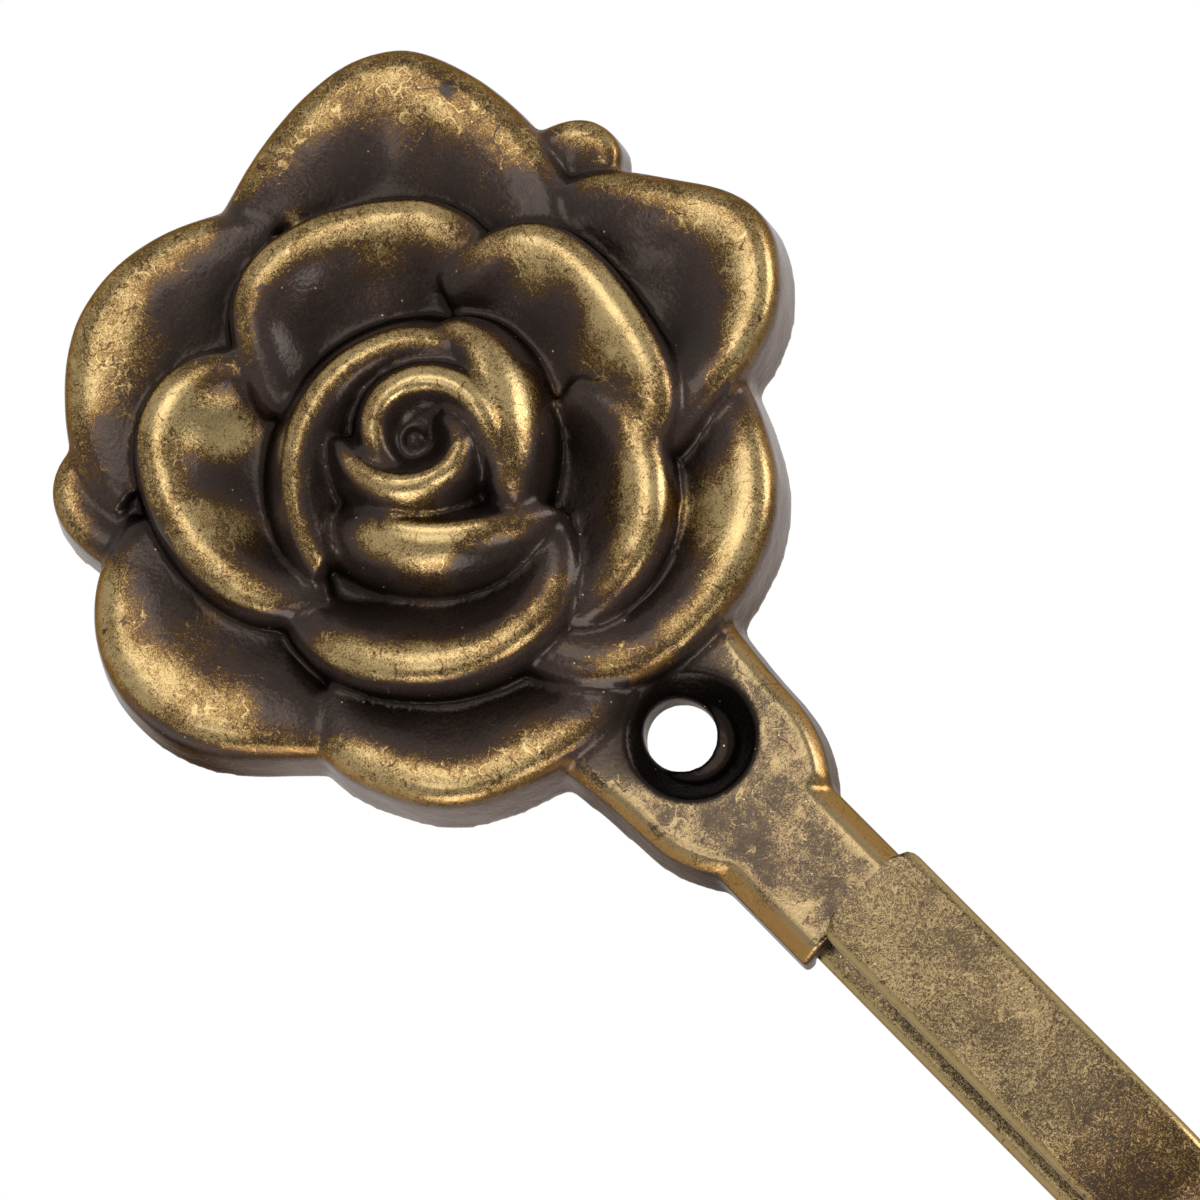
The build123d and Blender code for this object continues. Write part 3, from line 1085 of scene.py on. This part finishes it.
        # painted shade: the bend is darker where the strip curves away
        bend = step_between(*self.bend_shade_levels, shape.points[:, 2])
        shape.band(Band.RUBBED, self.face_rub + self.edge_rub * edge - self.bend_shade * bend)
        shape.band(Band.FACE, (1 - edge) * (1 - bend))
        for name in (Band.HOLLOW, Band.WALL, Band.AMBER):
            shape.band(name, np.zeros(len(shape.points)))


@dataclass(frozen=True)
class Lamp:
    """A soft round lamp a metre from the hook, facing it.

    Its place is along the photograph's right, up and towards its camera. Its size is its diameter in metres, and
    its glow is how bright its face is, where white surroundings are 1.
    """

    name: str
    toward: tuple[float, float, float]
    size: float
    glow: float


LAMPS = (
    Lamp("front", (-0.22, 0.49, 0.84), 0.46, 3.9),
    Lamp("key", (0.45, -0.50, 0.75), 0.50, 6.5),
    Lamp("right", (0.86, 0.40, 0.32), 0.60, 6.0),
    Lamp("low", (-0.10, -0.92, 0.36), 0.60, 5.0),
    Lamp("fill", (-0.29, -0.02, 0.96), 0.34, 3.2),
)


@dataclass
class Studio:
    """Camera, soft light, pale floor and white surroundings."""

    # the photograph's camera in millimetres, found from the rose, the screw hole and the strip
    eye: tuple[float, float, float] = (-27.21, -388.12, -81.10)
    right: tuple[float, float, float] = (0.71976, 0.10719, -0.68590)
    up: tuple[float, float, float] = (0.69019, -0.21688, 0.69037)
    forward: tuple[float, float, float] = (0.07476, 0.97030, 0.23008)
    lens: float = 180.0
    sensor: float = 36.0
    clip_near: float = 0.01
    clip_far: float = 20.0
    floor_level: float = -1300.0 * MM
    floor_size: float = 6.0
    floor_colour: str = "#F2F2F0"
    floor_rough: float = 0.9
    soft_light: float = 0.5
    white: float = 1.0

    def build(self) -> None:
        """Set up everything that isn't the hook."""
        self.camera()
        self.surroundings()
        self.floor()
        for lamp in LAMPS:
            self.hang(lamp)

    def camera(self) -> None:
        """Set the camera where the photograph's stood."""
        camera = bpy.data.objects.new("camera", bpy.data.cameras.new("camera"))
        bpy.context.scene.collection.objects.link(camera)
        columns = [Vector(self.right), Vector(self.up), -Vector(self.forward)]
        turn = Matrix(columns).transposed().to_4x4()
        camera.matrix_world = Matrix.Translation(Vector(self.eye) * MM) @ turn
        camera.data.lens = self.lens
        camera.data.sensor_width = self.sensor
        camera.data.clip_start = self.clip_near
        camera.data.clip_end = self.clip_far
        bpy.context.scene.camera = camera

    def surroundings(self) -> None:
        """Light the scene evenly and show white behind the hook and in its gloss."""
        world = bpy.data.worlds.new("surroundings")
        world.use_nodes = True
        bpy.context.scene.world = world
        tree = world.node_tree
        tree.nodes.clear()
        add = partial(add_node, tree)
        path = add("ShaderNodeLightPath").outputs
        seen = add(MATH, {0: path["Is Camera Ray"], 1: path["Is Glossy Ray"]}, operation="MAXIMUM")
        seen = add(MATH, {0: seen, 1: path["Is Transmission Ray"]}, operation="MAXIMUM")
        light = add("ShaderNodeBackground", {"Color": (1, 1, 1, 1), "Strength": self.soft_light})
        white = add("ShaderNodeBackground", {"Color": (1, 1, 1, 1), "Strength": self.white})
        mixed = add("ShaderNodeMixShader", {0: seen, 1: light, 2: white})
        add("ShaderNodeOutputWorld", {"Surface": mixed})

    def floor(self) -> None:
        """Lay a pale floor under the hook."""
        half = self.floor_size / 2
        mesh = bpy.data.meshes.new("floor")
        ends = [(-half, -half), (half, -half), (half, half), (-half, half)]
        mesh.from_pydata([(x, y, self.floor_level) for x, y in ends], [], [(0, 1, 2, 3)])
        floor = bpy.data.objects.new("floor", mesh)
        bpy.context.scene.collection.objects.link(floor)
        # matt paper: an even pale ground without gloss
        material = bpy.data.materials.new("matt paper")
        material.use_nodes = True
        shader = material.node_tree.nodes["Principled BSDF"]
        shader.inputs["Base Color"].default_value = linear(self.floor_colour)
        shader.inputs["Roughness"].default_value = self.floor_rough
        mesh.materials.append(material)

    def hang(self, lamp: Lamp) -> None:
        """Hang one soft lamp.

        Args:
            lamp: The lamp.
        """
        right, up, back = Vector(self.right), Vector(self.up), -Vector(self.forward)
        away = (right * lamp.toward[0] + up * lamp.toward[1] + back * lamp.toward[2]).normalized()
        data = bpy.data.lights.new(lamp.name, "AREA")
        data.shape = "DISK"
        data.size = lamp.size
        data.energy = lamp.glow * math.pi * math.pi * (lamp.size / 2) ** 2
        hung = bpy.data.objects.new(lamp.name, data)
        bpy.context.scene.collection.objects.link(hung)
        hung.location = away
        hung.rotation_mode = "QUATERNION"
        hung.rotation_quaternion = away.to_track_quat("Z", "Y")


def main() -> None:
    """Build the hook's pieces over the frame, then the studio round them."""
    logging.basicConfig(level=logging.INFO, format="%(name)s: %(message)s")
    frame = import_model()
    casting = RoseCasting().build(frame, AntiqueBrass("antique brass, blackened and rubbed"))
    log.info("%s: %d faces", casting.name, len(casting.data.polygons))
    # tumbled strip: an even fine speckle of olive gold on the faces and clean worn edges
    tumbled = AntiqueBrass(
        "antique brass strip, tumbled", dark="#33281C", flat_dark="#3E3427", flat_mid="#584934",
        flat_gold="#7C6B4C", ragged=2.2, patchy=0.9, face_patchy=0.0,
    )
    strip = BentStrip().build(tumbled)
    log.info("%s: %d faces", strip.name, len(strip.data.polygons))
    Studio().build()
    scene = bpy.context.scene
    scene.view_settings.view_transform = "Standard"


if __name__ == "__main__":
    main()
